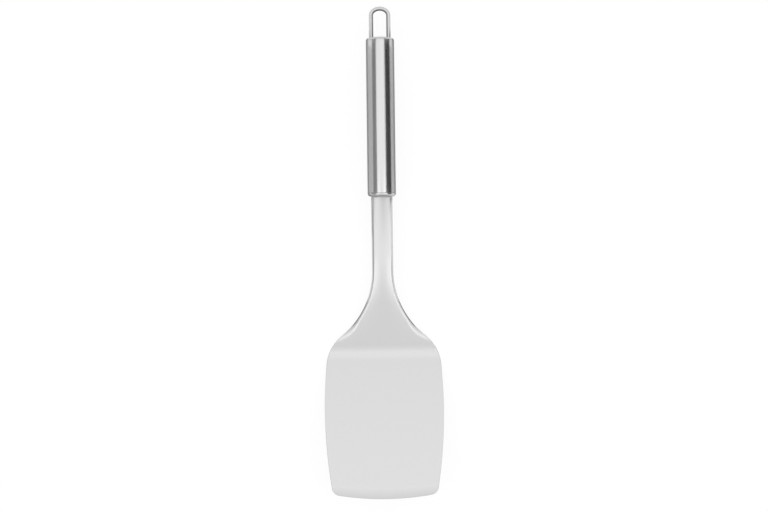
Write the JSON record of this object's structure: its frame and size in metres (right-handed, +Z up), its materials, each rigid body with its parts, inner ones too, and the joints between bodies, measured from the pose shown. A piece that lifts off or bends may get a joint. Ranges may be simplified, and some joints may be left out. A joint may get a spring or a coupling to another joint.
{
  "type": "kitchen turner",
  "caption": "Stainless steel turner: flat blade with bowed sides, flared neck and arched shank stamped in one, in a hollow round handle with a wire loop to hang it by.",
  "frame": {"origin": "middle of the whole object, on the table it lies on", "axes": "+X across the blade, +Y along the handle towards the loop, +Z up, with the blade's upper face up"},
  "size_m": [0.0844, 0.3466, 0.0295],
  "materials": {
    "sheet_steel": "satin",
    "tube_steel": "brushed lengthwise",
    "cap_steel": "fine turned",
    "wire_steel": "polished"
  },
  "bodies": {
    "root": {"blade_and_shank": "sheet_steel", "handle_tube": "tube_steel", "lower_end_cap": "cap_steel", "upper_end_cap": "cap_steel", "hanging_loop": "wire_steel"}
  },
  "joints": []
}
